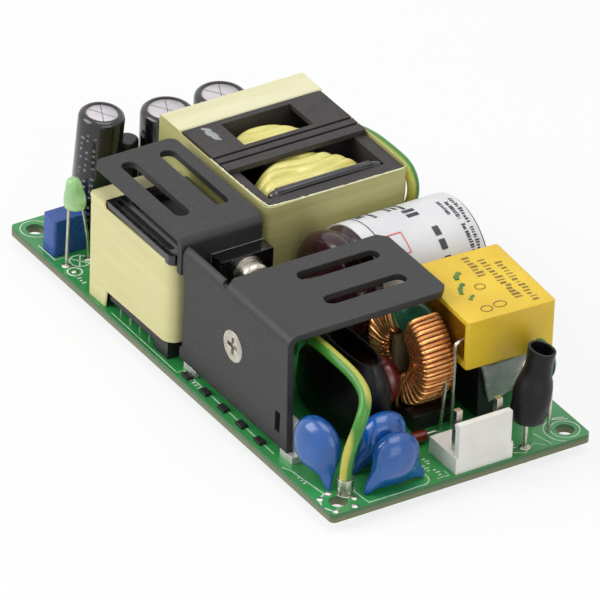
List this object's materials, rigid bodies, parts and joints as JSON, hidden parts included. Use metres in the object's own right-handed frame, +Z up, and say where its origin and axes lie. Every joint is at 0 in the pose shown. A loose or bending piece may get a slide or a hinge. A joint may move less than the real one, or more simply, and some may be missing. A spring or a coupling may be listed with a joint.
{
  "type": "open frame power supply",
  "caption": "Open frame mains power supply: green board with wound transformer, chokes, capacitors, folded black heatsinks and plug headers.",
  "frame": {"origin": "midway between the four fixing holes, on the underside of the board", "axes": "+X along the board to the mains input end, +Y across the board away from the heatsink brackets, +Z up from the component side"},
  "size_m": [0.1031, 0.0513, 0.0276],
  "materials": {
    "board_green": "solder mask over glass fibre laminate",
    "bracket_black": "black anodised sheet",
    "tinned_metal": "tinned",
    "moulded_black": "moulded",
    "gloss_black": "moulded, glossy",
    "pad_grey": "soft silicone",
    "yellow_tape": "polyester tape",
    "ferrite": "sintered",
    "maroon_sleeve": "shrunk sleeve",
    "white_label": "printed paper",
    "yellow_case": "moulded",
    "green_coating": "epoxy coated",
    "copper_wire": "enamelled copper",
    "beige_board": "fibre board",
    "red_coating": "dipped",
    "blue_coating": "dipped",
    "white_nylon": "moulded nylon",
    "clear_glass": "glass",
    "red_glass": "glass bead",
    "blue_case": "moulded",
    "green_lens": "clear tinted resin",
    "black_can": "sleeved can",
    "striped_wire": "green and yellow insulation"
  },
  "bodies": {
    "board": {"bridge_rectifier": "moulded_black", "bulk_capacitor": "maroon_sleeve", "bulk_label": "white_label", "choke_base": "moulded_black", "choke_bobbin": "gloss_black", "choke_core": "ferrite", "choke_pins": "tinned_metal", "choke_sleeve": "gloss_black", "choke_tape": "yellow_tape", "choke_winding": "yellow_tape", "circuit_board": "board_green", "component_leads": "tinned_metal", "earth_ferrules": "tinned_metal", "earth_wire": "striped_wire", "film_capacitor": "yellow_case", "fuse": "clear_glass", "fuse_sleeve": "moulded_black", "glass_diode": "red_glass", "indicator_lamp": "green_lens", "input_header": "white_nylon", "input_pins": "tinned_metal", "insulating_pads": "pad_grey", "lamp_leads": "tinned_metal", "line_choke": "ferrite", "output_capacitor_1": "black_can", "output_capacitor_2": "black_can", "output_capacitor_3": "black_can", "output_header": "white_nylon", "output_pins": "tinned_metal", "primary_bracket": "bracket_black", "primary_bracket_legs": "tinned_metal", "primary_nut": "tinned_metal", "primary_screw": "tinned_metal", "primary_transistor": "moulded_black", "ring_base": "moulded_black", "ring_core": "green_coating", "ring_separator": "beige_board", "ring_winding_far": "copper_wire", "ring_winding_near": "copper_wire", "rod_choke": "gloss_black", "secondary_bracket": "bracket_black", "secondary_screw": "tinned_metal", "secondary_transistor": "gloss_black", "secondary_washers": "tinned_metal", "silicone_pad": "pad_grey", "solder_joints": "tinned_metal", "surface_parts": "moulded_black", "thermistor": "green_coating", "transformer_base": "moulded_black", "transformer_core": "ferrite", "transformer_cover": "moulded_black", "transformer_tape": "yellow_tape", "transformer_winding": "yellow_tape", "transistor_leads": "tinned_metal", "trimmer_body": "blue_case", "varistor": "red_coating", "y_capacitor_1": "blue_coating", "y_capacitor_2": "blue_coating", "y_capacitor_3": "blue_coating"},
    "trimmer": {"trimmer_rotor": "white_nylon"}
  },
  "joints": [
    {"name": "trimmer_turn", "type": "hinge", "parent": "board", "child": "trimmer", "pos_m": [-0.0422, -0.02095, 0.0055], "axis": [1, 0, 0], "range_deg": [-120, 120]}
  ]
}
